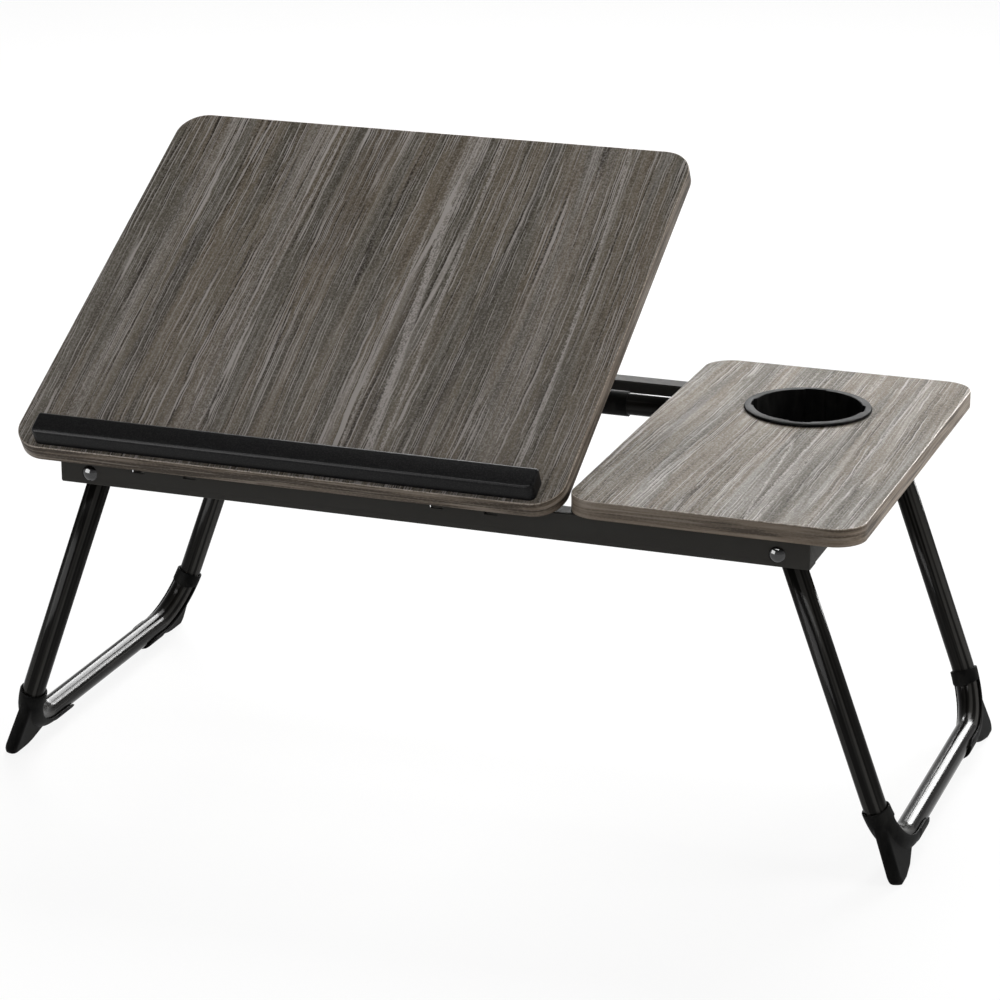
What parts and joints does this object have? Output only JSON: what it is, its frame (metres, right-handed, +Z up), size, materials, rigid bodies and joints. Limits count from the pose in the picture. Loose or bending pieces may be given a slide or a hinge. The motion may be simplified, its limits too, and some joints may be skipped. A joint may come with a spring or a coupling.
{
  "type": "folding laptop bed table",
  "caption": "Folding laptop bed table with a tilting wide top and stop bar, a flat side top with a cup holder, and fold-in bent tube legs.",
  "frame": {"origin": "on the floor, in the middle of the overall box, with the legs open and the wide top raised", "axes": "+X to the user's right, along the hinge; +Y away from the user; +Z up"},
  "size_m": [0.6684, 0.359, 0.4191],
  "materials": {
    "laminate": "grey oak foil on fibreboard, satin",
    "edge": "thin plastic edge band with printed grain",
    "rail": "dark grey powder coat",
    "tube": "gloss black paint",
    "plastic": "black moulded nylon, satin",
    "bar": "black, fine matt texture",
    "rivet": "gloss black",
    "zinc": "zinc plated"
  },
  "bodies": {
    "frame": {"cup_holder": "plastic", "fixed_top": "laminate", "fixed_top_edge_band": "edge", "fixed_top_screw_1": "zinc", "fixed_top_screw_2": "zinc", "fixed_top_screw_3": "zinc", "fixed_top_screw_4": "zinc", "front_left_leg_rivet": "rivet", "front_left_leg_stop": "plastic", "front_left_pivot_spacer": "plastic", "front_rail": "rail", "front_right_leg_rivet": "rivet", "front_right_leg_stop": "plastic", "front_right_pivot_spacer": "plastic", "left_end_rail": "rail", "left_hinge_frame_leaf": "zinc", "left_hinge_pin": "zinc", "left_tube_bush": "plastic", "rear_left_leg_rivet": "rivet", "rear_left_leg_stop": "plastic", "rear_left_pivot_spacer": "plastic", "rear_rail": "rail", "rear_right_leg_rivet": "rivet", "rear_right_leg_stop": "plastic", "rear_right_pivot_spacer": "plastic", "right_end_rail": "rail", "right_hinge_frame_leaf": "zinc", "right_hinge_pin": "zinc", "right_tube_saddle": "plastic"},
    "left_leg": {"front_left_boot": "plastic", "left_leg_tube": "tube", "rear_left_boot": "plastic"},
    "right_leg": {"front_right_boot": "plastic", "rear_right_boot": "plastic", "right_leg_tube": "tube"},
    "tilting_top": {"left_hinge_screw_1": "zinc", "left_hinge_screw_2": "zinc", "left_hinge_top_leaf": "zinc", "left_prop_track": "plastic", "right_hinge_screw_1": "zinc", "right_hinge_screw_2": "zinc", "right_hinge_top_leaf": "zinc", "right_prop_track": "plastic", "stop_bar": "bar", "stop_bar_peg_1": "bar", "stop_bar_peg_2": "bar", "tilting_top": "laminate", "tilting_top_edge_band": "edge", "track_screw_1": "zinc", "track_screw_2": "zinc", "track_screw_3": "zinc", "track_screw_4": "zinc"},
    "prop": {"left_prop_arm": "rail", "left_prop_hub": "plastic", "prop_tube": "tube", "prop_tube_plug": "plastic", "right_prop_arm": "rail", "right_prop_hub": "plastic"}
  },
  "joints": [
    {"name": "left_leg_fold", "type": "hinge", "parent": "frame", "child": "left_leg", "pos_m": [-0.24625, -0.00402, 0.22854], "axis": [0, -1, 0], "range_deg": [0, 105]},
    {"name": "right_leg_fold", "type": "hinge", "parent": "frame", "child": "right_leg", "pos_m": [0.24625, -0.00402, 0.22854], "axis": [0, 1, 0], "range_deg": [0, 101]},
    {"name": "top_tilt", "type": "hinge", "parent": "frame", "child": "tilting_top", "pos_m": [-0.10075, -0.16432, 0.23864], "axis": [1, 0, 0], "range_deg": [-29.32, 0]},
    {"name": "prop_swing", "type": "hinge", "parent": "frame", "child": "prop", "pos_m": [-0.10075, 0.11218, 0.23139], "axis": [-1, 0, 0], "range_deg": [-32.2, 0.2]}
  ],
  "couplings": [
    {"joint": "prop_swing", "follows": "top_tilt", "ratio": 1.0896}
  ]
}
